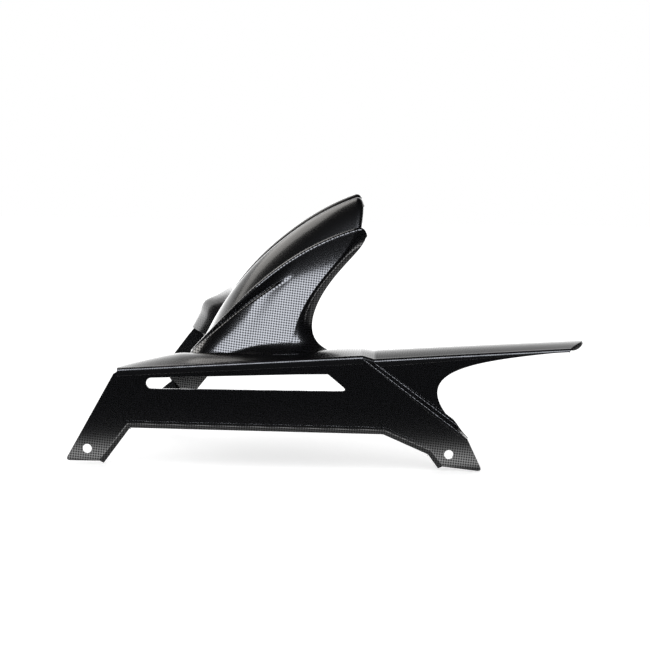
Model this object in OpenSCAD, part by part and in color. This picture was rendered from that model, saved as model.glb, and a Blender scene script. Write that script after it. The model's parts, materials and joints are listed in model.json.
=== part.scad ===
// Rear wheel hugger with its chain guard, moulded as one thin shell.
// X runs to the rear of the bike, Y from the chain side across the wheel, Z up.
// The origin lies midway between the two guard bolts, on the outer face of the guard.

/* [Fixing holes] */
// Distance between the two chain guard bolts
bolt_spacing = 450; // [430:1:470]
// Hole for a bushed guard bolt
bolt_hole_d = 11.5; // [8:0.5:13]
// Hole in the foot of the far leg
leg_hole_d = 8.5; // [6:0.5:10]

/* [Moulding] */
// Wall thickness of the moulding
wall = 3; // [2.4:0.1:3.6]
// Width of the folded-in hem along the lower edges
hem_w = 6; // [4:0.5:8]
// How far the hem turns in
hem_in = 4.5; // [3:0.5:7]
// Radius of the rounded upper edge of the guard
edge_r = 4; // [3:0.5:6]

/* [Guard panel] */
// Height of the upper edge above the bolts, at the front shoulder
shoulder_z = 102; // [96:1:106]
// Height of the upper edge above the bolts, at the step
step_z = 122.5; // [118:0.5:127]
// From the front bolt back to the shoulder
shoulder_setback = 37; // [30:1:42]
// From the origin back to the top of the step
step_x = 116; // [106:1:124]
// Height of the belly edge above the bolts
belly_z = 30.5; // [26:1:40]
// From the front bolt back to the front end of the belly edge
belly_front = 50; // [46:0.5:56]
// From the rear end of the belly edge back to the rear bolt
belly_rear = 81; // [76:1:90]
// From a bolt down to the underside of its foot
foot_drop = 15.5; // [14:0.5:20]
// Width of the front foot
foot_w = 43; // [38:1:50]
// Depth of the guard's top surface across the wheel
top_depth = 42; // [38:1:48]
// Rise of the top surface over its depth
top_rise = 9.5; // [6:0.5:13]

/* [Slot] */
// Front end of the slot, ahead of the origin
slot_front = 152; // [140:0.5:160]
// Rear tip of the slot, behind the origin
slot_rear = 97; // [80:1:100]
// Height of the slot's lower edge above the bolts
slot_z = 77; // [72:0.5:80]
// Slot height at its front end
slot_h_front = 13.5; // [10:0.5:15]
// Slot height at its rear end
slot_h_rear = 21.5; // [16:0.5:22]

/* [Tail] */
// How far the tail is stepped in behind the guard panel
step_in = 6; // [4:0.5:8]
// How far the tail's upper edge drops at the step
step_drop = 5; // [3:0.5:8]
// Rear end of the tail's upper edge, behind the origin
tail_end = 371; // [350:1:385]
// Rise of the tail's upper edge to its rear end
tail_rise = 17.5; // [12:0.5:20]
// How far the tip runs on past the outer corner
tip_run = 25; // [15:1:32]

/* [Wheel arch] */
// Wheel centre behind the origin
wheel_x = 223; // [218:1:228]
// Wheel centre above the bolts
wheel_z = -5; // [-8:1:-2]
// Wheel centre plane, in from the guard's outer face
wheel_y = 125; // [120:1:130]
// Radius of the two crests over the tyre
crest_r = 334; // [330:1:340]
// Distance between the two crests
crest_gap = 88; // [80:1:96]
// Depth of the channel between the crests
channel_depth = 10; // [6:1:12]
// Distance between the creases where crown and side walls meet
crown_w = 146; // [140:1:152]
// How much lower the far crest lies
far_crest_drop = 1; // [0:0.5:4]
// Width of the turned-in rear edge of the near side wall, at its foot
band_w = 52; // [46:1:56]
// How deep that edge turns in, at its foot
band_depth = 15; // [10:1:18]
// Depth of the styling ridge in the near side wall
ridge_depth = 5; // [3:0.5:7]
// How far the near side wall stands out at its foot
near_flare = 24; // [20:1:28]
// Height of the hollow where the near side wall meets the guard's top
foot_hollow = 8; // [4:1:10]
// Angle of the arch's rear end, round the wheel centre
arch_rear = 109.8; // [108:0.5:113]
// Angle of the arch's front end, round the wheel centre
arch_front = 159; // [157:0.5:161]

/* [Far leg] */
// Foot of the far leg, ahead of the origin
leg_x = 134; // [128:1:140]
// Height of its bolt hole, below the guard bolts
leg_hole_drop = 0; // [-4:1:2]
// How far the far side wall stands out beyond its crease
far_flare = 8; // [4:1:12]
// How far the foot of the leg is set in from the leg
foot_set = 9; // [5:1:12]

/* [Hidden] */

shell_color = [0.16, 0.16, 0.17];
front_bolt = -bolt_spacing / 2;
rear_bolt = bolt_spacing / 2;
shoulder_x = front_bolt + shoulder_setback;
step_run = 14;
tail_start = step_x + step_run;
tail_z = step_z - step_drop;
tail_end_z = tail_z + tail_rise;
foot_z = -foot_drop;
rear_foot_dip = 5.5;
corner_r = 3;
rear_lift = 2.2;
// height of the side wall's foot above the guard's outer edge, sunk in the top surface
base_lift = 2.2;
end_curl = 4;
end_bulge = 2;
lip_drop = 7;
tip_drop = 5.5;
tip_round = 5;
// how far a face lies inside the face that it runs on from
skim = 0.02;
// height of the flat sides' upper edges below the outer edge, under the rounding
side_drop = edge_r + 0.3;
far_y = wheel_y + crown_w / 2 + far_flare;

// straight line between two values or points
function mix(a, b, t) = a + (b - a) * t;
// curve through the control points p, at t from 0 to 1
function bez(p, t) = len(p) == 1 ? p[0]
    : bez([for (i = [0 : len(p) - 2]) mix(p[i], p[i + 1], t)], t);
function unit(v) = v / max(norm(v), 1e-9);
function smooth(t) = let (u = min(1, max(0, t))) u * u * (3 - 2 * u);

// direction out of the surface g at row i, column j
function net_normal(g, i, j) =
    let (n = len(g) - 1, m = len(g[0]) - 1,
         a = g[min(n, i + 1)][j] - g[max(0, i - 1)][j],
         b = g[i][min(m, j + 1)] - g[i][max(0, j - 1)])
    unit(cross(a, b));

// closed shell of thickness t behind the surface g, a list of rows of points
module shell(g, t = wall) {
    n = len(g);
    m = len(g[0]);
    outer = [for (i = [0 : n - 1]) for (j = [0 : m - 1]) g[i][j]];
    inner = [for (i = [0 : n - 1]) for (j = [0 : m - 1]) g[i][j] - t * net_normal(g, i, j)];
    k = n * m;
    skin = [for (i = [0 : n - 2]) for (j = [0 : m - 2])
        let (a = i * m + j, b = a + 1, c = a + m, d = c + 1)
        for (f = [[a, d, c], [a, b, d], [k + a, k + c, k + d], [k + a, k + d, k + b]]) f];
    sides = [for (i = [0 : n - 2])
        let (a = i * m, c = a + m, b = a + m - 1, d = b + m)
        for (f = [[a, c, k + c], [a, k + c, k + a], [b, k + d, d], [b, k + b, k + d]]) f];
    ends = [for (j = [0 : m - 2])
        let (a = j, b = j + 1, c = (n - 1) * m + j, d = c + 1)
        for (f = [[a, k + b, b], [a, k + a, k + b], [c, d, k + d], [c, k + d, k + c]]) f];
    polyhedron(points = concat(outer, inner), faces = concat(skin, sides, ends), convexity = 10);
}

// upper edge line of the guard panel
function edge_z(x) = shoulder_z + (step_z - shoulder_z) * (x - shoulder_x) / (step_x - shoulder_x);

// corners of the guard panel, from the front foot round by the rear foot
panel_corners = [
    [front_bolt - 27.5, foot_z],
    [shoulder_x - 4.5, shoulder_z - edge_r - 3],
    [shoulder_x, shoulder_z - side_drop],
    [step_x, step_z - side_drop],
    [rear_bolt + 23, foot_drop + 4],
    [rear_bolt + 42.5, foot_z - rear_foot_dip],
    [rear_bolt - 8, foot_z],
    [rear_bolt - 22, foot_z + 19],
    [rear_bolt - belly_rear, belly_z - 1.5],
    [front_bolt + belly_front, belly_z + 1.5],
    [front_bolt - 27.5 + foot_w, foot_z]];
heel = panel_corners[4];
hem_line = [for (i = [10 : -1 : 6]) panel_corners[i]];

module rounded(r) {
    offset(r, $fn = 32) offset(delta = -r) children();
}

module panel_outline() {
    rounded(corner_r) polygon(panel_corners);
}

// slot with a round front end and a slanted rear end
module slot_outline() {
    r = slot_h_front / 2;
    nose = 3;
    hull() {
        translate([-slot_front + r, slot_z + r]) circle(r, $fn = 32);
        translate([slot_rear - nose, slot_z + nose + 1]) circle(nose, $fn = 24);
        translate([slot_rear - 27, slot_z + slot_h_rear - nose]) circle(nose, $fn = 24);
    }
}

// point p of the panel plane, carried in by y
function lay(p, y) = [p[0], y, p[1]];

// hem folded in along the open outline p, to the right of its run
module hem(p) {
    n = len(p);
    dir = [for (i = [0 : n - 2]) unit(p[i + 1] - p[i])];
    side = [for (d = dir) [d[1], -d[0]]];
    mitre = [for (i = [0 : n - 1])
        i == 0 ? side[0] : i == n - 1 ? side[n - 2]
        : let (s = side[i - 1] + side[i]) s / (1 + side[i - 1] * side[i])];
    ring = [for (i = [0 : n - 1]) [
        lay(p[i] - mitre[i] * 0.5, skim),
        lay(p[i] + mitre[i] * hem_w, hem_in),
        lay(p[i] + mitre[i] * hem_w, hem_in + wall),
        lay(p[i] - mitre[i] * 0.5, wall - skim)]];
    pts = [for (r = ring) for (q = r) q];
    walls = [for (i = [0 : n - 2]) for (j = [0 : 3])
        let (a = i * 4 + j, b = i * 4 + (j + 1) % 4, c = a + 4, d = b + 4)
        for (f = [[a, d, b], [a, c, d]]) f];
    z = 4 * n - 4;
    caps = [[0, 2, 3], [0, 1, 2], [z, z + 2, z + 1], [z, z + 3, z + 2]];
    polyhedron(points = pts, faces = concat(walls, caps), convexity = 6);
}

// plate standing in the panel plane, its outer face at y
module upright(y) {
    translate([0, y + wall, 0]) rotate([90, 0, 0]) linear_extrude(wall) children();
}

// section of a top surface: rounded outer edge at height z, in to depth d with a rise, and a lip
function top_section(x, y, z, d, rise, drop = lip_drop) = concat(
    [[x, y + skim, z - edge_r - 0.6]],
    [for (a = [0 : 22.5 : 90]) [x, y + skim + edge_r * (1 - cos(a)), z - edge_r * (1 - sin(a))]],
    [for (k = [1 : 5]) let (u = k / 5) [x, y + edge_r + (d - edge_r) * u, z + rise * sin(90 * u)]],
    [[x, y + d + 1, z + rise - drop]]);

// depth of the guard's top, which narrows where the wheel arch grows out of it
function guard_depth(x, u) = let (
    under_arch = smooth((x + 120) / 40) * smooth((95 - x) / 40))
    mix(edge_r + 4, top_depth - 12 * under_arch, min(1, pow(u * 5, 0.6)));

// section of the tail's top at share u of its length, its end slanted back and rounded
function tail_depth(u) = mix(top_depth - step_in, 34, u);
function tail_section(u) = [for (p = top_section(mix(tail_start, tail_end, u), step_in,
        mix(tail_z, tail_end_z, u), tail_depth(u), 6, mix(lip_drop, 3, u)))
    let (share = (p[1] - step_in) / tail_depth(u))
    p + [tip_run * u * u * share - tip_round * pow(u * share, 8), 0, 0]];

// top surface of the guard and, past the step, of the tail
module long_top() {
    front = [for (k = [0 : 20]) let (u = k / 20, x = mix(shoulder_x, step_x, u))
        top_section(x, 0, edge_z(x), guard_depth(x, u), top_rise * min(1, u * 4) * (1 - 0.68 * u * u))];
    back = [for (k = [0 : 14]) tail_section(k / 14)];
    tip = [for (p = tail_section(1)) let (share = (p[1] - step_in) / tail_depth(1))
        p + [1.5, 0, -1 - tip_drop * sin(180 * min(1, share))]];
    shell(concat(front, back, [tip]));
}

// side face of the tail, with its long hollow lower edge
module tail_side() {
    hollow = [heel + [-20, 22], heel + [-85, 94], heel + [22.5, 95.5],
        [mix(heel[0], tail_end, 0.6), tail_end_z - 8], [tail_end, tail_end_z - side_drop]];
    polygon(concat([[tail_start, tail_z - side_drop], [tail_start - 5, tail_z - side_drop - 4], heel + [-4, -4]],
        [for (k = [0 : 24]) bez(hollow, k / 24)]));
}

// sloping face that joins the guard panel to the tail
module step_face() {
    a = panel_corners[3];
    far_a = a + [step_run, -step_drop];
    hull() for (p = [[a, 0], [heel, 0], [far_a, step_in], [heel + [-16, 19], step_in], [heel, step_in]])
        translate([p[0][0], p[1] + skim, p[0][1]]) rotate([-90, 0, 0])
            cylinder(h = wall - 2 * skim, d = 1, $fn = 12);
}

// radius that the crease lies under the crest, at t from the rear end to the front end
function crease_drop(t) = 32 - 23 * t - 18 * pow(t, 5);
function rim(a, r) = [wheel_x + r * cos(a), wheel_z + r * sin(a)];
function arch_angle(t) = mix(arch_rear, arch_front, t);
// how far the crown lifts over its rear third
function lift(t) = rear_lift * smooth(1 - t / 0.45);
// how far the crown's last few millimetres curl in round its rear end
function curl(t) = end_curl * (1 - sqrt(1 - pow(max(0, 1 - t / 0.013), 2)));
function crease(t) = rim(mix(arch_rear + 2.5, arch_front, t), crest_r - crease_drop(t));

// the t at which the arch has a row of points, closest round its rear end
band_t = 0.02;
rear_rows = [0, 0.003, 0.007, 0.013, band_t, 0.03, 0.045, 0.065, 0.09];
arch_rows = concat(rear_rows, [for (i = [1 : 30]) mix(0.09, 1, i / 30)]);
// share of the way from the turned-in rear edge to the front end
function past_band(t) = max(0, t - band_t) / (1 - band_t);

// rear edge of the near side wall, from its top corner down to the guard's top
wall_corner = crease(0) + [8.5, -8.5];
wall_foot = let (x = step_x - 37) [x, edge_z(x) - 1];
function wall_rear(s) = bez([wall_corner, wall_corner + [-5, -19], wall_corner + [-34, -37],
    wall_corner + [-71, -76], wall_foot + [-54, 13], wall_foot], s);
// line along which that edge turns in
band_foot = let (x = wall_foot[0] - band_w) [x, edge_z(x) + base_lift];
function band_line(s) = let (top = crease(band_t))
    bez([top, top + [-7, -37], top + [-53, -61], band_foot + [-1, 43], band_foot], s);
function wall_base(t) = let (x = mix(band_foot[0], crease(1)[0] - 4, past_band(t))) [x, edge_z(x) + base_lift];
// swell that rounds the wall's top corner
function nose(s, t) = [2, 4.5] * sin(180 * t / band_t) * pow(max(0, 1 - s / 0.12), 2);
function wall_point(s, t) = t < band_t ? mix(wall_rear(s), band_line(s), t / band_t) + nose(s, t)
    : mix(crease(t), wall_base(t), s)
        + (band_line(s) - mix(crease(band_t), wall_base(band_t), s)) * pow(1 - past_band(t), 1.6);
// the near side wall's heights that have a row of points, its styling ridge at the fourth
wall_rows = [0, 0.06, 0.22, 0.27, 0.4, 0.55, 0.7, 0.82, 0.9, 0.94, 0.97, 1];
// how far in the near side wall lies at share s of its height
function wall_y(s, t) = let (
    ridge = smooth((t - 0.3) / 0.25),
    drop_in = ridge_depth * ridge * (s < 0.25 ? s / 0.22 : 0),
    flare = near_flare * pow(s, mix(2, 1.25, ridge)) * (1 - 0.3 * t),
    hollow = foot_hollow * pow(max(0, s - 0.88) / 0.12, 2.2) * (1 - 0.8 * smooth((t - 0.35) / 0.3)),
    turn = band_depth * mix(0.4, 1, s) * pow(max(0, 1 - t / band_t), 1.3))
    wheel_y - crown_w / 2 - 4 + drop_in - flare - hollow + turn;

// lower edge of the far side wall
function far_low(t) = bez([crease(0) + [5, -9], wall_corner + [-50, -50], [0, 165], [-45, 120]], t);

// point of the crown's flank at share v of the way from crease to crest, with its
// distance from the wheel's centre plane as the third value; low is how much the crest is lowered
function flank(t, v, low = 0) = let (
    height = 1 - pow(1 - v, 1.75),
    a = mix(mix(arch_rear + 2.5, arch_front, t), arch_angle(t), height),
    r = crest_r + lift(t) * height - crease_drop(t) * (1 - height) - low * height,
    tilt = mix(35, 90, v),
    bulge = end_bulge * sin(180 * v) * max(0, 1 - t / 0.06),
    p = rim(a, r - curl(t) * sin(tilt)))
    [p[0] + bulge * sin(a), p[1] - bulge * cos(a),
     mix(crown_w, crest_gap, v) / 2 - curl(t) * cos(tilt)];
function channel(t, side, down, low = 0) = let (
    p = rim(arch_angle(t), crest_r + lift(t) - low - channel_depth * down - curl(t)))
    lay(p, wheel_y + crest_gap / 2 * side);
function on_side(f, side) = [f[0], wheel_y + side * f[2], f[1]];

flank_steps = [0, 0.1, 0.25, 0.42, 0.6, 0.8, 1];
channel_bed = [[0.96, 0.22], [0.87, 0.58], [0.7, 0.88], [0.35, 1]];
function arch_row(t) = let (n = len(channel_bed) - 1, far = crease(t))
    concat(
    [for (i = [len(wall_rows) - 1 : -1 : 0]) lay(wall_point(wall_rows[i], t), wall_y(wall_rows[i], t))],
    [for (v = flank_steps) on_side(flank(t, v), -1)],
    [for (b = channel_bed) channel(t, -b[0], b[1])],
    [for (i = [n : -1 : 0]) channel(t, channel_bed[i][0], channel_bed[i][1], far_crest_drop)],
    [for (i = [len(flank_steps) - 1 : -1 : 0]) on_side(flank(t, flank_steps[i], far_crest_drop), 1)],
    [for (i = [1 : 4]) lay(mix(far, far_low(t), i / 4), wheel_y + crown_w / 2 + far_flare * smooth(i / 3))]);

module arch() {
    shell([for (t = arch_rows) arch_row(t)]);
}

// upper outline of the shelf where the far leg leaves the crown
shelf_top = [[-109, 125], [-99, 144], [-96, 154], [-91, 161.5], [-74, 170.5], [-50, 188], [-37, 200]];

// shelf between the crown and the far leg
module shelf() {
    n = len(shelf_top) - 1;
    shell([for (i = [n : -1 : 0]) let (
        p = shelf_top[i],
        q = rim(mix(arch_front - 1, 143, i / n), crest_r - 2))
        [lay(q, wheel_y + crest_gap / 2 - 4), lay(mix(q, p, 0.55), wheel_y + crest_gap / 2 + 12),
         lay(p, far_y - 5), lay(p + [2, -2], far_y), lay(p + [8, -10], far_y + 0.4)]]);
}

module leg_plate(y) {
    translate([0, y, 0]) rotate([90, 0, 0]) linear_extrude(wall) children();
}

// far leg, with its foot set in towards the wheel
module far_leg() {
    knee = [-leg_x - 8, 55];
    leg_plate(far_y + 0.6) rounded(corner_r) polygon([knee + [9, -14], knee, knee + [5, 33],
        shelf_top[0] + [-8, -10], shelf_top[0], shelf_top[2] + [0, -2], shelf_top[4] + [2, -4],
        shelf_top[6] + [2, -8], [-20, 150], [-58, 108], knee + [52, 4], knee + [30, -24], knee + [18, -28]]);
    foot_y = far_y + 0.6 - foot_set;
    hull() for (p = [[knee + [4, -4], far_y + 0.6], [knee + [21, -24], far_y + 0.6],
            [knee + [-8, -13], foot_y], [knee + [19, -34], foot_y]])
        translate([p[0][0], p[1] - skim, p[0][1]]) rotate([90, 0, 0])
            cylinder(h = wall - 2 * skim, d = 3, $fn = 16);
    leg_plate(foot_y) rounded(corner_r) polygon([knee + [-9, -12], knee + [21, -32],
        [-leg_x + 13, -12], [-leg_x - 13, -12]]);
}

module fender_moulding() {
    color(shell_color)
    difference() {
        union() {
            upright(0) difference() {
                panel_outline();
                slot_outline();
            }
            translate([skim, 0, skim]) hem(hem_line);
            long_top();
            step_face();
            upright(step_in) tail_side();
            arch();
            shelf();
            far_leg();
        }
        for (x = [front_bolt, rear_bolt])
            translate([x, hem_in + 2 * wall, 0]) rotate([90, 0, 0])
                cylinder(h = hem_in + 4 * wall, d = bolt_hole_d, $fn = 48);
        translate([-leg_x, far_y + wall, -leg_hole_drop]) rotate([90, 0, 0])
            cylinder(h = foot_set + 4 * wall, d = leg_hole_d, $fn = 48);
    }
}

fender_moulding();
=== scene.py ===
import json
import math

import bmesh
import bpy
from mathutils import Matrix, Vector


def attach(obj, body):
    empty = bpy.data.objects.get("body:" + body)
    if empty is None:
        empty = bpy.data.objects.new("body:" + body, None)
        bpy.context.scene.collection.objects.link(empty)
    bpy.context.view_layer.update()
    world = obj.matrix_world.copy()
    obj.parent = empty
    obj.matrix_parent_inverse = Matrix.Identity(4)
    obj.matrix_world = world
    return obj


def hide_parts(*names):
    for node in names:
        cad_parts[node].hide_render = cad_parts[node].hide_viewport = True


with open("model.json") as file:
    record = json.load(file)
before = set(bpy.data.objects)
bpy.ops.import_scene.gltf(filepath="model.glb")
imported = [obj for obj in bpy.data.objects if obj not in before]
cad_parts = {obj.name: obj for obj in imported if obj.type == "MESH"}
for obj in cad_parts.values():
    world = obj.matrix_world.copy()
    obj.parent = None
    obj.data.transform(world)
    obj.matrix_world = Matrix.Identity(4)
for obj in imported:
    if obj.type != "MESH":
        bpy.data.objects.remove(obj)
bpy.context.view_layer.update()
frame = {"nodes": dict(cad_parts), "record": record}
scene = bpy.context.scene
print("frame loaded:", ", ".join(frame["nodes"]))


def hexColour(code):
    # sRGB hex to the linear values that the sockets take
    parts = [int(code[i:i + 2], 16) / 255 for i in (0, 2, 4)]
    return [p / 12.92 if p <= 0.04045 else ((p + 0.055) / 1.055) ** 2.4 for p in parts] + [1.0]


def addNode(tree, kind, settings=None, inputs=None, links=None):
    # one node with its properties, its fixed inputs, and its links as input: output socket
    node = tree.nodes.new(kind)
    for name, value in (settings or {}).items():
        setattr(node, name, value)
    for key, value in (inputs or {}).items():
        node.inputs[key].default_value = value
    for key, output in (links or {}).items():
        tree.links.new(output, node.inputs[key])
    return node


def newMaterial(name):
    material = bpy.data.materials.new(name)
    material.use_nodes = True
    material.node_tree.nodes.clear()
    return material


# moulded ABS under a printed carbon weave and a satin clear coat: near black when it faces
# the dark side of the room, a grey sheen of fine dots where it turns to the light
wovenAbs = {
    "ground": "030303",      # the print between the crossings
    "crossing": "0E0E11",    # the crossings, where the other yarn lies on top
    # mm from crossing to crossing: coarser than the real 2.8, which is lost at this picture's size
    "pitch": 3.1,
    "lean": 0.1,             # radians that the rows of the print lean
    "fade": (-0.5, 0.3),     # the two waves' difference between which a crossing appears
    "stretched": 0.5,        # the print's mean, where it is stretched smooth
    "edge": 0.0004,          # m, how far the moulding's edges are rounded over
    "edgeSamples": 6,
    "roughness": (0.32, 0.16),    # of the ground and of the crossings
    "shine": (0.14, 0.95),        # likewise
    "coat": 0.2,
    "coatRoughness": 0.1,
    "ior": 1.5,
}


def makeWoven(s):
    material = newMaterial("wovenPrintAbs")
    tree = material.node_tree
    place = addNode(tree, "ShaderNodeUVMap", {"uv_map": "weave"})
    printed = addNode(tree, "ShaderNodeUVMap", {"uv_map": "printStrength"})
    clear = addNode(tree, "ShaderNodeSeparateXYZ", links={0: printed.outputs["UV"]})
    # two waves a pitch long: their difference marks the crossings, in rows along both yarns
    leant = addNode(tree, "ShaderNodeVectorRotate", {"rotation_type": "Z_AXIS"},
                    {"Angle": s["lean"]}, {"Vector": place.outputs["UV"]})
    turns = addNode(tree, "ShaderNodeVectorMath", {"operation": "SCALE"},
                    {"Scale": 2 * math.pi / s["pitch"]}, {0: leant.outputs[0]})
    split = addNode(tree, "ShaderNodeSeparateXYZ", links={0: turns.outputs[0]})
    across = addNode(tree, "ShaderNodeMath", {"operation": "COSINE"}, links={0: split.outputs["X"]})
    along = addNode(tree, "ShaderNodeMath", {"operation": "COSINE"}, links={0: split.outputs["Y"]})
    difference = addNode(tree, "ShaderNodeMath", {"operation": "SUBTRACT"},
                         links={0: across.outputs[0], 1: along.outputs[0]})
    over = addNode(tree, "ShaderNodeMapRange", {"interpolation_type": "SMOOTHSTEP"},
                   {1: s["fade"][0], 2: s["fade"][1]}, {0: difference.outputs[0]})
    share = addNode(tree, "ShaderNodeMix", inputs={2: s["stretched"]},
                    links={0: clear.outputs["X"], 3: over.outputs[0]})
    colour = addNode(tree, "ShaderNodeMix", {"data_type": "RGBA"},
                     {6: hexColour(s["ground"]), 7: hexColour(s["crossing"])}, {0: share.outputs[0]})
    rough = addNode(tree, "ShaderNodeMapRange",
                    inputs={3: s["roughness"][0], 4: s["roughness"][1]}, links={0: share.outputs[0]})
    shine = addNode(tree, "ShaderNodeMapRange",
                    inputs={3: s["shine"][0], 4: s["shine"][1]}, links={0: share.outputs[0]})
    edge = addNode(tree, "ShaderNodeBevel", {"samples": s["edgeSamples"]}, {"Radius": s["edge"]})
    shader = addNode(tree, "ShaderNodeBsdfPrincipled",
                     inputs={"IOR": s["ior"], "Coat Weight": s["coat"], "Coat IOR": s["ior"],
                             "Coat Roughness": s["coatRoughness"]},
                     links={"Base Color": colour.outputs[2], "Roughness": rough.outputs[0],
                            "Specular IOR Level": shine.outputs[0], "Normal": edge.outputs[0],
                            "Coat Normal": edge.outputs[0]})
    addNode(tree, "ShaderNodeOutputMaterial", links={"Surface": shader.outputs[0]})
    return material


# the part's own sizes in millimetres, as it is dimensioned; the holes come from the frame
mounts = {mount["name"]: mount for mount in frame["record"]["mounts"]}
bolts = mounts["guard_bolts"]["dims"]
frontBolt, rearBolt = -bolts["spacing_x_mm"] / 2, bolts["spacing_x_mm"] / 2
legHole = [1000 * v for v in mounts["far_leg_hole"]["pos_m"]]


def mix(a, b, t):
    return a + (b - a) * t


def smooth(t):
    t = min(1.0, max(0.0, t))
    return t * t * (3 - 2 * t)


def bezier(points, t):
    points = [Vector(p) for p in points]
    while len(points) > 1:
        points = [mix(a, b, t) for a, b in zip(points, points[1:])]
    return points[0]


def spaced(start, end, count):
    return [mix(start, end, k / count) for k in range(count + 1)]


def roundCorners(points, radius, closed=True):
    # replaces each corner of an outline by an arc of the radius, or smaller where a side is short
    points = [Vector(p) for p in points]
    result = []
    for k, corner in enumerate(points):
        if not closed and k in (0, len(points) - 1):
            result.append(corner)
            continue
        before = points[k - 1] - corner
        after = points[(k + 1) % len(points)] - corner
        half = before.angle(after) / 2
        reach = min(radius / math.tan(half), 0.45 * before.length, 0.45 * after.length)
        a, b = corner + before.normalized() * reach, corner + after.normalized() * reach
        result += [bezier([a, corner, b], t) for t in spaced(0, 1, 6)]
    return result


guard = {
    "wall": 3.0,
    "shoulderX": frontBolt + 37, "shoulderZ": 102,   # upper edge at the front
    "stepX": 116, "stepZ": 122.5,                    # upper edge at the step
    "footDrop": 15.5, "footFront": 27.5, "footWidth": 43,
    "bellyZ": 30.5, "bellyFront": 50, "bellyRear": 81,
    "edgeRadius": 4, "topDepth": 42, "topRise": 9.5, "lipDrop": 7,
    "tuck": 0.3,                                     # how far a face ends under the rounded edge
    "hemWidth": 6, "hemIn": 4.5, "hemFold": 3, "foldStart": -1.2,
    "cornerRadius": 4,
}
# the flat plates: their bevelled edges, and how far they lie behind the walls that they join
plate = {"bevel": 0.5, "sunk": 0.04, "cornerRadius": 3}
drillLength = 24
sharpAngle = 30    # degrees from which an edge stays sharp


def edgeZ(x):
    # height of the guard's upper edge
    g = guard
    climb, run = g["stepZ"] - g["shoulderZ"], g["stepX"] - g["shoulderX"]
    return g["shoulderZ"] + climb * (x - g["shoulderX"]) / run


def panelCorners():
    # from the front foot up, along the upper edge, down the rear foot and back along the belly
    g = guard
    foot, side = -g["footDrop"], g["edgeRadius"] + g["tuck"]
    return [(frontBolt - g["footFront"], foot),
            (g["shoulderX"] - 4.5, g["shoulderZ"] - g["edgeRadius"] - 3),
            (g["shoulderX"], g["shoulderZ"] - side),
            (g["stepX"], g["stepZ"] - side),
            (rearBolt + 23, g["footDrop"] + 4),
            (rearBolt + 42.5, foot - 5.5),
            (rearBolt - 8, foot),
            (rearBolt - 22, foot + 19),
            (rearBolt - g["bellyRear"], g["bellyZ"] - 1.5),
            (frontBolt + g["bellyFront"], g["bellyZ"] + 1.5),
            (frontBolt - g["footFront"] + g["footWidth"], foot)]


slot = {"front": 152, "rear": 97, "base": 77, "frontHeight": 13.5, "rearHeight": 21.5,
        "tipRadius": 3}


def slotOutline():
    # a round front end and a slanted rear end
    s = slot
    r, tip = s["frontHeight"] / 2, s["tipRadius"]
    nose = [Vector((-s["front"] + r - r * math.sin(a), s["base"] + r - r * math.cos(a)))
            for a in spaced(math.pi, 0, 16)]
    rear = roundCorners([(s["rear"] - 34, s["base"] + 0.6), (s["rear"] + 1, s["base"] + 0.9),
                         (s["rear"] - 24, s["base"] + s["rearHeight"]),
                         (s["rear"] - 60, s["base"] + s["rearHeight"] - 0.8)], tip, closed=False)
    return nose + rear


# a wall moulded behind its outer surface, as named inputs of one geometry tree
def wallTree():
    tree = bpy.data.node_groups.new("mouldedWall", "GeometryNodeTree")
    for name, kind in (("Surface", "NodeSocketGeometry"), ("Thickness", "NodeSocketFloat"),
                       ("Material", "NodeSocketMaterial")):
        tree.interface.new_socket(name, in_out="INPUT", socket_type=kind)
    tree.interface.new_socket("Wall", in_out="OUTPUT", socket_type="NodeSocketGeometry")
    given = addNode(tree, "NodeGroupInput")
    inward = addNode(tree, "ShaderNodeMath", {"operation": "MULTIPLY"}, {1: -1.0},
                     {0: given.outputs["Thickness"]})
    back = addNode(tree, "GeometryNodeExtrudeMesh", {"mode": "FACES"}, {"Individual": False},
                   {"Mesh": given.outputs["Surface"], "Offset Scale": inward.outputs[0]})
    turned = addNode(tree, "GeometryNodeFlipFaces", links={"Mesh": back.outputs["Mesh"]})
    both = addNode(tree, "GeometryNodeJoinGeometry", links={0: turned.outputs[0]})
    tree.links.new(given.outputs["Surface"], both.inputs[0])
    closed = addNode(tree, "GeometryNodeMergeByDistance", inputs={"Distance": 1e-6},
                     links={"Geometry": both.outputs[0]})
    whole = addNode(tree, "GeometryNodeRealizeInstances", links={"Geometry": closed.outputs[0]})
    finished = addNode(tree, "GeometryNodeSetMaterial",
                       links={"Geometry": whole.outputs[0], "Material": given.outputs["Material"]})
    addNode(tree, "NodeGroupOutput", links={0: finished.outputs[0]})
    return tree


def addObject(name, mesh):
    thing = bpy.data.objects.new(name, mesh)
    scene.collection.objects.link(thing)
    return thing


def evaluated(thing):
    # the object's finished mesh, in place of its modifiers
    mesh = bpy.data.meshes.new_from_object(thing.evaluated_get(bpy.context.evaluated_depsgraph_get()))
    thing.modifiers.clear()
    thing.data = mesh
    return thing


def layWeave(mesh, place, strength=lambda v: 1):
    # the weave's map in millimetres, and how clearly the print shows, from each corner's vertex
    weave, clear = mesh.uv_layers.new(name="weave"), mesh.uv_layers.new(name="printStrength")
    for loop, item, shown in zip(mesh.loops, weave.data, clear.data):
        item.uv = place(loop.vertex_index)
        shown.uv = (strength(loop.vertex_index), 0)


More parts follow.
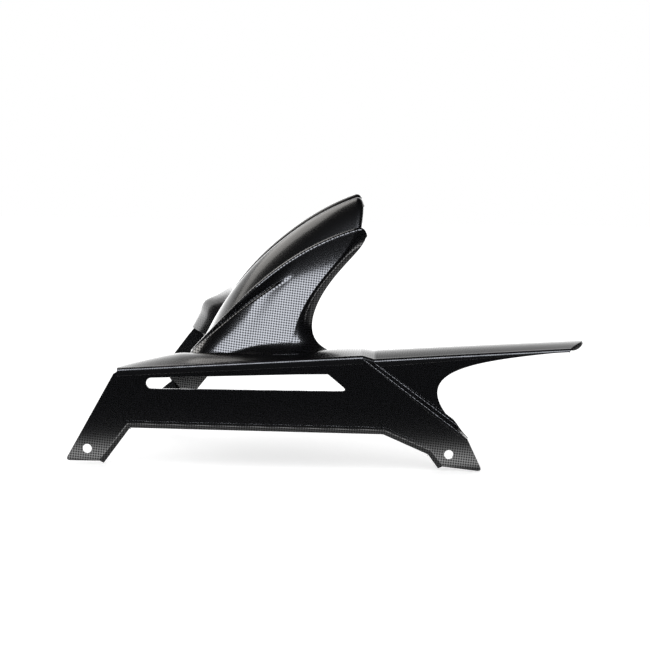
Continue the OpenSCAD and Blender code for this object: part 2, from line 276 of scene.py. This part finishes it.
def makeWall(name, rows, thickness, tree, material, place=None, strength=lambda j: 1):
    # rows of points of the outer surface, in millimetres; place gives the weave's map by row and column
    width = len(rows[0])
    points = [Vector(p) / 1000 for row in rows for p in row]
    faces = [(a, a + width, a + width + 1, a + 1)
             for i in range(len(rows) - 1) for a in range(i * width, i * width + width - 1)]
    mesh = bpy.data.meshes.new(name)
    mesh.from_pydata(points, [], faces)
    if place is None:
        layWeave(mesh, lambda v: (1000 * points[v].x, 1000 * points[v].z),
                 lambda v: strength(v % width))
    else:
        layWeave(mesh, lambda v: place(v // width, v % width), lambda v: strength(v % width))
    wall = addObject(name, mesh)
    modifier = wall.modifiers.new("mouldedWall", "NODES")
    modifier.node_group = tree
    names = {item.name: item.identifier
             for item in tree.interface.items_tree if item.in_out == "INPUT"}
    modifier[names["Thickness"]] = thickness / 1000
    modifier[names["Material"]] = material
    return evaluated(wall)


def makePlate(name, outlines, y, thickness, bevel, material):
    # a flat plate with its outer face at y, from its outline and its holes, edges rounded
    curve = bpy.data.curves.new(name, "CURVE")
    curve.dimensions = "2D"
    curve.fill_mode = "BOTH"
    curve.extrude = thickness / 2 - bevel
    curve.bevel_depth = bevel
    curve.bevel_resolution = 1
    curve.offset = -bevel
    for outline in outlines:
        spline = curve.splines.new("POLY")
        spline.points.add(len(outline) - 1)
        for point, (u, v) in zip(spline.points, outline):
            point.co = (u, v, 0, 1)
        spline.use_cyclic_u = True
    flat = addObject(name, curve)
    mesh = bpy.data.meshes.new_from_object(flat.evaluated_get(bpy.context.evaluated_depsgraph_get()))
    bpy.data.objects.remove(flat)
    place = Matrix(((1, 0, 0, 0), (0, 0, -1, y + thickness / 2), (0, 1, 0, 0), (0, 0, 0, 1)))
    mesh.transform(Matrix.Scale(0.001, 4) @ place)
    body = bmesh.new()
    body.from_mesh(mesh)
    bmesh.ops.remove_doubles(body, verts=body.verts, dist=1e-6)
    bmesh.ops.recalc_face_normals(body, faces=body.faces)
    body.to_mesh(mesh)
    body.free()
    while mesh.uv_layers:
        mesh.uv_layers.remove(mesh.uv_layers[0])
    layWeave(mesh, lambda v: (1000 * mesh.vertices[v].co.x, 1000 * mesh.vertices[v].co.z))
    mesh.materials.clear()
    mesh.materials.append(material)
    return addObject(name, mesh)


arch = {
    "wheelX": 223, "wheelY": 125, "wheelZ": -5,
    "crestRadius": 334, "crestGap": 88, "farCrestDrop": 1,
    "channelDepth": 10, "crownWidth": 146,
    "rear": 109.8, "front": 159,          # degrees round the wheel centre
    "creaseLead": 2.5,                    # degrees between the crown's rear end and the crease's
    "crease": (32, 23, 18),               # mm under the crest at the rear, and its rise forward
    "crownRound": 1.75, "crownTilt": (35, 90),
    "rearLift": 2.2, "liftShare": 0.45,
    "endCurl": 4, "curlShare": 0.013, "endBulge": 2, "bulgeShare": 0.06,
    "bandWidth": 52, "bandDepth": 15, "bandShare": 0.02, "bandFade": 1.6,
    "noseShare": 0.12, "noseSwell": (2, 4.5),
    "ridgeDepth": 5, "nearFlare": 24, "farFlare": 8,
    "footHollow": 8, "baseLift": 2.2,
    "rows": 110,
}
# the near side wall, with s from 0 at the crease to 1 at the guard, and t from 0 at the arch's
# rear end to 1 at its front end
sideWall = {
    "outset": 4,                          # mm that its upper edge stands out past the crown
    "edgeRound": 0.7,
    "flareCurve": (2, 1.25), "flareEase": 0.3,
    "footFrom": 0.88, "footShare": 0.12, "footCurve": 2.2,
    "footEase": 0.8, "footEaseFrom": 0.35, "footEaseOver": 0.3,
    "turnTop": 0.4, "turnCurve": 1.3,
    "ridgeFrom": 0.3, "ridgeOver": 0.25,
    "ridgeTop": 0.22, "ridgeFoot": 0.27, "ridgeFall": 0.05,
    "ridgeRounding": (-0.012, -0.006, 0, 0.006, 0.012),
}
farY = arch["wheelY"] + arch["crownWidth"] / 2 + arch["farFlare"]


def rim(angle, radius):
    a = math.radians(angle)
    return Vector((arch["wheelX"] + radius * math.cos(a), arch["wheelZ"] + radius * math.sin(a)))


def lay(p, y):
    return Vector((p[0], y, p[1]))


def archAngle(t):
    return mix(arch["rear"], arch["front"], t)


def creaseDrop(t):
    # how far the crease lies under the crest
    deep, ease, hook = arch["crease"]
    return deep - ease * t - hook * t ** 5


def lift(t):
    # how far the crown rises over its rear part
    return arch["rearLift"] * smooth(1 - t / arch["liftShare"])


def curl(t):
    # how far the crown's last few millimetres turn in at its rear end
    return arch["endCurl"] * (1 - math.sqrt(1 - max(0, 1 - t / arch["curlShare"]) ** 2))


def creaseAngle(t):
    return mix(arch["rear"] + arch["creaseLead"], arch["front"], t)


def crease(t):
    return rim(creaseAngle(t), arch["crestRadius"] - creaseDrop(t))


def pastBand(t):
    return max(0, t - arch["bandShare"]) / (1 - arch["bandShare"])


wallCorner = crease(0) + Vector((8.5, -8.5))
wallFoot = Vector((guard["stepX"] - 37, edgeZ(guard["stepX"] - 37) - 1))
bandX = wallFoot.x - arch["bandWidth"]
bandFoot = Vector((bandX, edgeZ(bandX) + arch["baseLift"]))


def steps(start, *moves):
    # control points given as moves from a start
    return [start] + [start + Vector(move) for move in moves]


def wallRear(s):
    return bezier(steps(wallCorner, (-5, -19), (-34, -37), (-71, -76))
                  + [wallFoot + Vector((-54, 13)), wallFoot], s)


def bandLine(s):
    return bezier(steps(crease(arch["bandShare"]), (-7, -37), (-53, -61))
                  + [bandFoot + Vector((-1, 43)), bandFoot], s)


def wallBase(t):
    x = mix(bandFoot.x, crease(1).x - 4, pastBand(t))
    return Vector((x, edgeZ(x) + arch["baseLift"]))


def wallPoint(s, t):
    band = arch["bandShare"]
    if t < band:
        swell = math.sin(math.pi * t / band) * max(0, 1 - s / arch["noseShare"]) ** 2
        return mix(wallRear(s), bandLine(s), t / band) + swell * Vector(arch["noseSwell"])
    bent = bandLine(s) - mix(crease(band), wallBase(band), s)
    return mix(crease(t), wallBase(t), s) + bent * (1 - pastBand(t)) ** arch["bandFade"]


def ridgeIn(s):
    # the ridge's profile, rounded by averaging over a short stretch
    w = sideWall

    def sharp(v):
        return v / w["ridgeTop"] if v < w["ridgeTop"] else max(0, (w["ridgeFoot"] - v) / w["ridgeFall"])
    return sum(sharp(max(0, s + d)) for d in w["ridgeRounding"]) / len(w["ridgeRounding"])


def wallY(s, t):
    # how far across the wall lies: its ridge and its turned-in rear band add, flare and foot take off
    a, w = arch, sideWall
    ridge = smooth((t - w["ridgeFrom"]) / w["ridgeOver"])
    inward = a["ridgeDepth"] * ridge * ridgeIn(s)
    flare = a["nearFlare"] * s ** mix(*w["flareCurve"], ridge) * (1 - w["flareEase"] * t)
    foot = (max(0, s - w["footFrom"]) / w["footShare"]) ** w["footCurve"]
    ease = 1 - w["footEase"] * smooth((t - w["footEaseFrom"]) / w["footEaseOver"])
    hollow = a["footHollow"] * foot * ease
    turn = a["bandDepth"] * mix(w["turnTop"], 1, s) * max(0, 1 - t / a["bandShare"]) ** w["turnCurve"]
    return a["wheelY"] - a["crownWidth"] / 2 - w["outset"] + inward - flare - hollow + turn


def farLow(t):
    # lower edge of the far side wall
    return bezier([crease(0) + Vector((5, -9)), wallCorner + Vector((-50, -50)),
                   (0, 165), (-45, 120)], t)


def flank(t, v, low, side):
    # the crown from the crease, at v = 0, over to a crest, at v = 1
    height = 1 - (1 - v) ** arch["crownRound"]
    angle = mix(creaseAngle(t), archAngle(t), height)
    radius = arch["crestRadius"] + (lift(t) - low) * height - creaseDrop(t) * (1 - height)
    tilt = math.radians(mix(*arch["crownTilt"], v))
    bulge = arch["endBulge"] * math.sin(math.pi * v) * max(0, 1 - t / arch["bulgeShare"])
    a = math.radians(angle)
    p = rim(angle, radius - curl(t) * math.sin(tilt)) + bulge * Vector((math.sin(a), -math.cos(a)))
    out = mix(arch["crownWidth"], arch["crestGap"], v) / 2 - curl(t) * math.cos(tilt)
    return lay(p, arch["wheelY"] + side * out)


# the channel's half section: share of the way out to the crest, and share of its depth
channelBed = [(1, 0), (0.96, 0.22), (0.87, 0.58), (0.7, 0.88), (0.35, 1), (0, 1.02)]


def channel(t, side, low):
    # from a crest down to the middle of the channel
    a = arch
    points = [splinePoint(channelBed, k, part)
              for k in range(len(channelBed) - 1) for part in (0.25, 0.5, 0.75, 1)]
    crest = a["crestRadius"] + lift(t) - low
    return [lay(rim(archAngle(t), crest - a["channelDepth"] * down - curl(t)),
                a["wheelY"] + side * a["crestGap"] / 2 * across) for across, down in points]


def splinePoint(points, k, t):
    # Catmull-Rom curve through the points, between the k-th and the next
    a, b, c, d = (Vector(points[min(len(points) - 1, max(0, k + m))]) for m in (-1, 0, 1, 2))
    square, cube = 2 * a - 5 * b + 4 * c - d, 3 * b - a - 3 * c + d
    return 0.5 * (2 * b + (c - a) * t + square * t ** 2 + cube * t ** 3)


# s of the side wall's points, closest over its foot and its ridge
wallHeights = [1, 0.99, 0.98, 0.97, 0.955, 0.94, 0.92, 0.9, 0.88] + spaced(0.85, 0.3, 20) \
    + spaced(0.285, 0.2, 14) + spaced(0.18, 0.02, 8)
# t of the arch's rows at its rear end, closest where it curls in
rearRows = [0, 0.0008, 0.002, 0.0035, 0.0055, 0.008, 0.0105, 0.013, 0.0165, 0.02, 0.0215, 0.024,
            0.028, 0.033]


def archRow(t):
    wallSide = [lay(wallPoint(s, t), wallY(s, t)) for s in wallHeights]
    top, r = lay(wallPoint(0, t), wallY(0, t)), sideWall["edgeRound"]
    # the wall's upper edge, rounded over into the crease
    turned = [top + Vector((0, r * (1 - math.cos(a)), -r * (1 - math.sin(a))))
              for a in spaced(0, math.pi / 2, 4)]
    near = [flank(t, v, 0, -1) for v in [0.004] + spaced(0.03, 1, 16)]
    far = [flank(t, v, arch["farCrestDrop"], 1) for v in spaced(1, 0, 12)]
    bed = channel(t, -1, 0)
    farBed = channel(t, 1, arch["farCrestDrop"])[::-1][1:]
    skirt = [lay(mix(crease(t), farLow(t), k / 12),
                 arch["wheelY"] + arch["crownWidth"] / 2 + arch["farFlare"] * smooth(k / 9))
             for k in range(1, 13)]
    return wallSide + turned + near + bed + farBed + far + skirt


def archRows():
    return [archRow(t) for t in rearRows + spaced(0.04, 1, arch["rows"])]


def topSection(x, y, z, depth, rise, drop, skirt=6):
    # skirt below the rounded outer edge, the roof, and the lip turned down behind it
    r = guard["edgeRadius"]
    flat = [(y, z - r - skirt), (y, z - r - skirt / 2)]
    edge = [(y + r * (1 - math.cos(a)), z - r * (1 - math.sin(a)))
            for a in spaced(0, math.pi / 2, 8)]
    roof = [(y + r + (depth - r) * u, z + rise * math.sin(math.pi / 2 * u))
            for u in spaced(1 / 14, 1, 13)]
    lip = [(y + depth + 0.6, z + rise - 0.3), (y + depth + 1, z + rise - 1),
           (y + depth + 1, z + rise - drop)]
    return [Vector((x, a, b)) for a, b in flat + edge + roof + lip]


tail = {
    "stepRun": 14, "stepIn": 6, "stepDrop": 5,
    "end": 371, "rise": 17.5, "depth": 34, "topRise": 6,
    "tipRun": 25, "tipDrop": 5.5, "tipRound": 5,
}


def guardDepth(x, u):
    # the guard's top is narrower where the wheel arch grows out of it
    g = guard
    underArch = smooth((x + 120) / 40) * smooth((95 - x) / 40)
    return mix(g["edgeRadius"] + 4, g["topDepth"] - 12 * underArch, min(1, (u * 5) ** 0.6))


def tailSection(u):
    g, t = guard, tail
    z = g["stepZ"] - t["stepDrop"] + t["rise"] * u
    depth = mix(g["topDepth"] - t["stepIn"], t["depth"], u)
    points = topSection(mix(g["stepX"] + t["stepRun"], t["end"], u), t["stepIn"], z, depth,
                        t["topRise"], mix(g["lipDrop"], 3, u), mix(6, 0.5, min(1, u * 1.2)))
    result = []
    for p in points:
        share = (p.y - t["stepIn"]) / depth
        run = t["tipRun"] * u * u * share - t["tipRound"] * (u * share) ** 8
        result.append(p + Vector((run, 0, 0)))
    return result


def topRows():
    g, t = guard, tail
    front = []
    for u in spaced(0, 1, 110):
        x = mix(g["shoulderX"], g["stepX"], u)
        rise = g["topRise"] * min(1, u * 4) * (1 - 0.68 * u * u)
        front.append(topSection(x, 0, edgeZ(x), guardDepth(x, u), rise, g["lipDrop"]))
    back = [tailSection(u) for u in spaced(0, 1, 80)]
    # the tip's end face, turned down
    for part in spaced(0.25, 1, 3):
        end = []
        for p in tailSection(1):
            share = min(1, (p.y - t["stepIn"]) / t["depth"])
            drop = 1 + t["tipDrop"] * math.sin(math.pi * share)
            end.append(p + Vector((math.sin(part * math.pi / 2), 0, -drop * part)))
        back.append(end)
    return front + back


def hemRows():
    # strip folded in along the lower edges, from the flat of the panel round the fold
    g = guard
    line = [Vector(p) for p in (panelCorners()[k] for k in (10, 9, 8, 7, 6))]
    path = roundCorners(line, g["cornerRadius"], closed=False)
    slope = math.atan2(g["hemIn"], g["hemWidth"])
    profile = [(-4, 0), (-2, 0)]
    profile += [(g["foldStart"] + g["hemFold"] * math.sin(a), g["hemFold"] * (1 - math.cos(a)))
                for a in spaced(0.1, slope, 5)]
    lastW, lastY = profile[-1]
    length = g["hemWidth"] - g["tuck"] - lastW
    profile += [(lastW + length * k / 3, lastY + length * k / 3 * math.tan(slope))
                for k in (1, 2, 3)]
    rows = []
    for k, p in enumerate(path):
        before = (p - path[k - 1]).normalized() if k else (path[1] - p).normalized()
        after = (path[k + 1] - p).normalized() if k < len(path) - 1 else before
        way = (before + after).normalized()
        side = Vector((way.y, -way.x))
        rows.append([lay(p + side * w, y) for w, y in profile])
    return rows[::-1]


# the step's section: share of its width, and share of how far it goes in
stepProfile = [(0, 0), (0.06, 0.012), (0.12, 0.045), (0.18, 0.1), (0.25, 0.18), (0.35, 0.31),
               (0.5, 0.5), (0.65, 0.69), (0.75, 0.82), (0.82, 0.9), (0.88, 0.955), (0.94, 0.988),
               (1, 1)]


def stepRows():
    # the sloping band between the guard panel and the tail, its two folds rounded
    t = tail
    corners = panelCorners()
    top, heel = Vector(corners[3]), Vector(corners[4])
    farTop, farHeel = top + Vector((t["stepRun"], -t["stepDrop"])), heel + Vector((-16, 19))
    last = heel + Vector((0.7, 0.4))
    rows = []
    for v in spaced(0, 1, 60):
        a = mix(top, heel, v)
        b = mix(farTop, farHeel, v / 0.86) if v < 0.86 else mix(farHeel, last, (v - 0.86) / 0.14)
        out = (b - a).normalized()
        spare = mix(1, 0.1, smooth((v - 0.8) / 0.15))
        near = [lay(a - out * 3, 0), lay(a - out * 1.2, 0)]
        slope = [lay(mix(a, b, w), t["stepIn"] * y) for w, y in stepProfile]
        far = [lay(b + out * 1.2 * spare, t["stepIn"]), lay(b + out * 3 * spare, t["stepIn"])]
        rows.append(near + slope + far)
    return rows


def tailOutline():
    g, t = guard, tail
    start = g["stepX"] + t["stepRun"]
    z = g["stepZ"] - t["stepDrop"]
    endZ, side = z + t["rise"], g["edgeRadius"] + g["tuck"]
    heel = Vector(panelCorners()[4])
    hollow = [heel + Vector((-20, 22)), heel + Vector((-85, 94)), heel + Vector((22.5, 95.5)),
              Vector((mix(heel.x, t["end"], 0.6), endZ - 8)), Vector((t["end"], endZ - side))]
    return [Vector((start, z - side)), Vector((start - 5, z - side - 4)), heel + Vector((-4, -4))] \
        + [bezier(hollow, k / 48) for k in range(49)]


leg = {"knee": (-8, 55), "footSet": 9, "outset": 0.6, "webRadius": 1.5}
shelfLine = [(-109, 125), (-99, 144), (-96, 154), (-91, 161.5), (-74, 170.5), (-50, 188), (-37, 200)]


def kneeAt(*move):
    return Vector((legHole[0] + leg["knee"][0], leg["knee"][1])) + Vector(move)


def shelfRows():
    a = arch
    rows = []
    count = len(shelfLine) - 1
    for k in range(count - 1, -1, -1):
        for part in ([1] if k == count - 1 else []) + [0.75, 0.5, 0.25, 0]:
            p = splinePoint(shelfLine, k, part)
            q = rim(mix(a["front"] - 1, 143, (k + part) / count), a["crestRadius"] - 2)
            start = a["wheelY"] + a["crestGap"] / 2
            ridge = [lay(q, start - 4), lay(mix(q, p, 0.55), start + 12), lay(p, farY - 5),
                     lay(p + Vector((2, -2)), farY), lay(p + Vector((8, -10)), farY + 0.15)]
            rows.append([splinePoint(ridge, m, s / 4) for m in range(4) for s in range(4)]
                        + [ridge[-1]])
    return rows


def legOutline():
    s = [Vector(p) for p in shelfLine]
    return roundCorners([kneeAt(9, -14), kneeAt(0, 0), kneeAt(5, 33), s[0] + Vector((-8, -10)), s[0],
                         s[2] + Vector((0, -2)), s[4] + Vector((2, -4)), s[6] + Vector((2, -8)),
                         Vector((-20, 150)), Vector((-58, 108)), kneeAt(52, 4), kneeAt(30, -24),
                         kneeAt(18, -28)], plate["cornerRadius"])


def footOutline():
    x = legHole[0]
    return roundCorners([kneeAt(-9, -12), kneeAt(21, -32), Vector((x + 13, -12)),
                         Vector((x - 13, -12))], plate["cornerRadius"])


def makeJoggle(name, material):
    # the slanted web between the leg and its foot
    legY, footY = farY + leg["outset"], farY + leg["outset"] - leg["footSet"]
    body = bmesh.new()
    for p, y in ((kneeAt(4, -4), legY), (kneeAt(21, -24), legY),
                 (kneeAt(-8, -13), footY), (kneeAt(19, -34), footY)):
        for depth in (0.1, guard["wall"] - 0.1):
            for a in spaced(0, 1.5 * math.pi, 3):
                out = leg["webRadius"] * Vector((math.cos(a), math.sin(a)))
                body.verts.new(lay(p + out, y - depth) / 1000)
    hull = bmesh.ops.convex_hull(body, input=body.verts)
    spare = list({g for g in hull["geom_interior"] + hull["geom_unused"]
                  if isinstance(g, bmesh.types.BMVert)})
    bmesh.ops.delete(body, geom=spare, context="VERTS")
    bmesh.ops.recalc_face_normals(body, faces=body.faces)
    mesh = bpy.data.meshes.new(name)
    body.to_mesh(mesh)
    body.free()
    layWeave(mesh, lambda v: (1000 * mesh.vertices[v].co.x, 1000 * mesh.vertices[v].co.z))
    mesh.materials.append(material)
    return addObject(name, mesh)


def makeDrill(name, x, y, z, radius, length):
    body = bmesh.new()
    place = Matrix.Translation(Vector((x, y, z)) / 1000) @ Matrix.Rotation(math.pi / 2, 4, "X")
    bmesh.ops.create_cone(body, cap_ends=True, segments=64, radius1=radius / 1000,
                          radius2=radius / 1000, depth=length / 1000, matrix=place)
    mesh = bpy.data.meshes.new(name)
    body.to_mesh(mesh)
    body.free()
    layWeave(mesh, lambda v: (0, 0))
    return addObject(name, mesh)


def archPrint(j):
    # the print shows on the side wall and half way round its upper edge; it is stretched smooth
    # over the crown
    return 1 if j < len(wallHeights) + 3 else 0


def alongSurface(rows):
    # map by distance walked: down each row from its start, and along the middle column
    middle = len(rows[0]) // 2
    along, across = [0.0], []
    for a, b in zip(rows, rows[1:]):
        along.append(along[-1] + (b[middle] - a[middle]).length)
    for row in rows:
        walked = [0.0]
        for a, b in zip(row, row[1:]):
            walked.append(walked[-1] + (b - a).length)
        across.append([w - walked[middle] for w in walked])
    return lambda i, j: (along[i], across[i][j])


def makeMoulding(material):
    wall = guard["wall"]
    tree = wallTree()
    rows = {"arch": archRows(), "top": topRows(), "hem": hemRows(), "step": stepRows(),
            "shelf": shelfRows()}
    # how clearly the print shows, where that isn't in full
    strengths = {"arch": archPrint, "top": lambda j: 0.35, "shelf": lambda j: 0.2}
    pieces = [makeWall(name, net, wall, tree, material,
                       alongSurface(net) if name == "top" else None,
                       strengths.get(name, lambda j: 1))
              for name, net in rows.items()]
    legY = farY + leg["outset"] - wall
    panel = [roundCorners(panelCorners(), guard["cornerRadius"]), slotOutline()]
    for name, outlines, y in (("panel", panel, plate["sunk"]),
                              ("tailSide", [tailOutline()], tail["stepIn"] + plate["sunk"]),
                              ("leg", [legOutline()], legY),
                              ("foot", [footOutline()], legY - leg["footSet"])):
        pieces.append(makePlate(name, outlines, y, wall, plate["bevel"], material))
    pieces.append(makeJoggle("joggle", material))
    drills = [makeDrill("drill", x, guard["edgeRadius"], 0, bolts["hole_r_mm"], drillLength)
              for x in (frontBolt, rearBolt)]
    drills.append(makeDrill("drill", *legHole, mounts["far_leg_hole"]["dims"]["r_mm"], drillLength))
    print("walls and plates:", ", ".join(piece.name for piece in pieces))
    whole = pieces[0]
    for piece, operation in [(p, "UNION") for p in pieces[1:]] + [(d, "DIFFERENCE") for d in drills]:
        join = whole.modifiers.new("join", "BOOLEAN")
        join.operation, join.object, join.solver = operation, piece, "MANIFOLD"
    evaluated(whole)
    for spent in pieces[1:] + drills:
        bpy.data.objects.remove(spent)
    whole.name = "moulding"
    mesh = whole.data
    mesh.materials.clear()
    mesh.materials.append(material)
    mesh.set_sharp_from_angle(angle=math.radians(sharpAngle))
    # the flats keep their own direction, and only the folds between them turn
    flats = whole.modifiers.new("flats", "WEIGHTED_NORMAL")
    flats.keep_sharp = True
    evaluated(whole)
    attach(whole, "root")
    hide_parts("fender_moulding")
    return whole


moulding = makeMoulding(makeWoven(wovenAbs))
print("moulding:", len(moulding.data.polygons), "faces")


# a matt white paper floor, two softboxes, and a lit card behind; sizes in metres
studio = {
    "floorLevel": -0.0212,
    "floor": "F4F4F4",
    "floorHalf": 4.0,
    "stripFar": (-0.19, -0.06),    # y between which the mirrored floor turns light
    "stripNear": (-0.05, -0.015),  # and dark again
    # how bright the strip glows in reflections only, a painted reflection, and how much of it is left
    # under the part as painted shadow
    "floorMirrored": 3.2, "mirroredShadowUnder": 0.15,
    "room": 1.0,                   # what lights the part and the floor; the print does not mirror it
    "aim": (0.07, 0, 0.15),        # where the softboxes point
    "paperGlow": 0.36,             # added for the camera, so that the paper is white up to the shadow
    "front": {"size": (2.8, 0.95), "place": (0.3, -1.6, 1.05), "power": 75, "colour": "F1F5FF"},
    "side": {"size": (1.7, 1.3), "place": (-1.15, 0.8, 1.85), "power": 24, "colour": "FFFCF8"},
    "cardLine": [(3, 2), (-1.6, 2), (-2.2, 1.5), (-2.35, 1.15)],
    "cardHeight": 3.6, "cardGlow": 3.9,
}


def stage(name, line, rise, material):
    # an upright or a flat sheet: its line of points, carried on by rise
    count = len(line)
    corners = [Vector(p) for p in line] + [Vector(p) + Vector(rise) for p in line]
    mesh = bpy.data.meshes.new(name)
    mesh.from_pydata(corners, [], [(k, k + 1, count + k + 1, count + k) for k in range(count - 1)])
    mesh.materials.append(material)
    thing = addObject(name, mesh)
    return thing


def makeFloor(s):
    material = newMaterial("whitePaper")
    tree = material.node_tree
    seen = addNode(tree, "ShaderNodeLightPath")
    place = addNode(tree, "ShaderNodeTexCoord")
    split = addNode(tree, "ShaderNodeSeparateXYZ", links={0: place.outputs["Object"]})
    # what the print mirrors, for mirrored rays only: a strip in front of the part that glows as a
    # painted reflection of lit paper, with painted shade on both sides, the near side standing for the
    # part's own shadow
    paintedReflectionAhead = addNode(tree, "ShaderNodeMapRange", {"interpolation_type": "SMOOTHSTEP"},
                    {1: s["stripFar"][0], 2: s["stripFar"][1], 3: 0, 4: s["floorMirrored"]},
                    {0: split.outputs["Y"]})
    paintedShadowUnder = addNode(tree, "ShaderNodeMapRange", {"interpolation_type": "SMOOTHSTEP"},
                    {1: s["stripNear"][0], 2: s["stripNear"][1], 3: 1, 4: s["mirroredShadowUnder"]},
                    {0: split.outputs["Y"]})
    strip = addNode(tree, "ShaderNodeMath", {"operation": "MULTIPLY"},
                    links={0: paintedReflectionAhead.outputs[0], 1: paintedShadowUnder.outputs[0]})
    glow = addNode(tree, "ShaderNodeEmission", links={"Strength": strip.outputs[0]})
    paper = addNode(tree, "ShaderNodeBsdfDiffuse", inputs={"Color": hexColour(s["floor"])})
    white = addNode(tree, "ShaderNodeMath", {"operation": "MULTIPLY"}, {1: s["paperGlow"]},
                    {0: seen.outputs["Is Camera Ray"]})
    lift = addNode(tree, "ShaderNodeEmission", links={"Strength": white.outputs[0]})
    lifted = addNode(tree, "ShaderNodeAddShader", links={0: paper.outputs[0], 1: lift.outputs[0]})
    both = addNode(tree, "ShaderNodeMixShader",
                   links={0: seen.outputs["Is Glossy Ray"], 1: lifted.outputs[0], 2: glow.outputs[0]})
    addNode(tree, "ShaderNodeOutputMaterial", links={"Surface": both.outputs[0]})
    half, level = s["floorHalf"], s["floorLevel"]
    stage("floor", [(-half, -half, level), (half, -half, level)], (0, 2 * half, 0), material)


def makeCard(s):
    # a tall lit card behind, brightest at its foot, which only the print's sheen sees
    material = newMaterial("litCard")
    tree = material.node_tree
    place = addNode(tree, "ShaderNodeTexCoord")
    split = addNode(tree, "ShaderNodeSeparateXYZ", links={0: place.outputs["Object"]})
    fall = addNode(tree, "ShaderNodeMapRange", inputs={1: 0, 2: s["cardHeight"], 3: 1, 4: 0},
                   links={0: split.outputs["Z"]})
    steep = addNode(tree, "ShaderNodeMath", {"operation": "POWER"}, {1: 2}, {0: fall.outputs[0]})
    glow = addNode(tree, "ShaderNodeMath", {"operation": "MULTIPLY"}, {1: s["cardGlow"]},
                   {0: steep.outputs[0]})
    light = addNode(tree, "ShaderNodeEmission", links={"Strength": glow.outputs[0]})
    addNode(tree, "ShaderNodeOutputMaterial", links={"Surface": light.outputs[0]})
    card = stage("backCard", [(x, y, 0) for x, y in s["cardLine"]], (0, 0, s["cardHeight"]), material)
    card.visible_camera = False
    card.visible_diffuse = False
    card.visible_shadow = False


def makeLamp(name, lamp, aim):
    data = bpy.data.lights.new(name, "AREA")
    data.shape = "RECTANGLE"
    data.size, data.size_y = lamp["size"]
    data.energy = lamp["power"]
    data.color = hexColour(lamp["colour"])[:3]
    thing = bpy.data.objects.new(name, data)
    thing.location = lamp["place"]
    thing.rotation_euler = (Vector(aim) - Vector(lamp["place"])).to_track_quat("-Z", "Y").to_euler()
    thing.visible_camera = False
    thing.visible_diffuse = False
    scene.collection.objects.link(thing)


def makeWorld(s):
    world = bpy.data.worlds.new("studioRoom")
    scene.world = world
    world.use_nodes = True
    tree = world.node_tree
    tree.nodes.clear()
    seen = addNode(tree, "ShaderNodeLightPath")
    shown = addNode(tree, "ShaderNodeMix", inputs={2: s["room"], 3: 1.0},
                    links={0: seen.outputs["Is Camera Ray"]})
    light = addNode(tree, "ShaderNodeBackground", inputs={"Color": (1, 1, 1, 1)},
                    links={"Strength": shown.outputs[0]})
    addNode(tree, "ShaderNodeOutputWorld", links={"Surface": light.outputs[0]})
    world.cycles_visibility.glossy = False


makeFloor(studio)
makeCard(studio)
makeLamp("frontSoftbox", studio["front"], studio["aim"])
makeLamp("sideSoftbox", studio["side"], studio["aim"])
makeWorld(studio)
scene.view_settings.view_transform = "Standard"
print("studio ready")

camera = {
    "elevation": 8,       # degrees above the horizon
    "roll": 0.98,         # degrees, as the photograph leans
    "distance": 2.0,
    "target": (0.06831, 0.0, 0.1602),
    "lens": 90.0,
    "sensor": 36.0,
    "reach": 20,
}


def makeCamera(s):
    tilt, roll = math.radians(s["elevation"]), math.radians(s["roll"])
    back = Vector((0, -math.cos(tilt), math.sin(tilt)))
    right = Vector((1, 0, 0))
    up = back.cross(right)
    across = right * math.cos(roll) + up * math.sin(roll)
    upward = up * math.cos(roll) - right * math.sin(roll)
    data = bpy.data.cameras.new("camera")
    data.lens, data.sensor_width = s["lens"], s["sensor"]
    data.clip_end = s["reach"]
    thing = bpy.data.objects.new("camera", data)
    turn = Matrix((across, upward, back)).transposed().to_4x4()
    thing.matrix_world = Matrix.Translation(Vector(s["target"]) + back * s["distance"]) @ turn
    scene.collection.objects.link(thing)
    scene.camera = thing


makeCamera(camera)
print("camera ready")
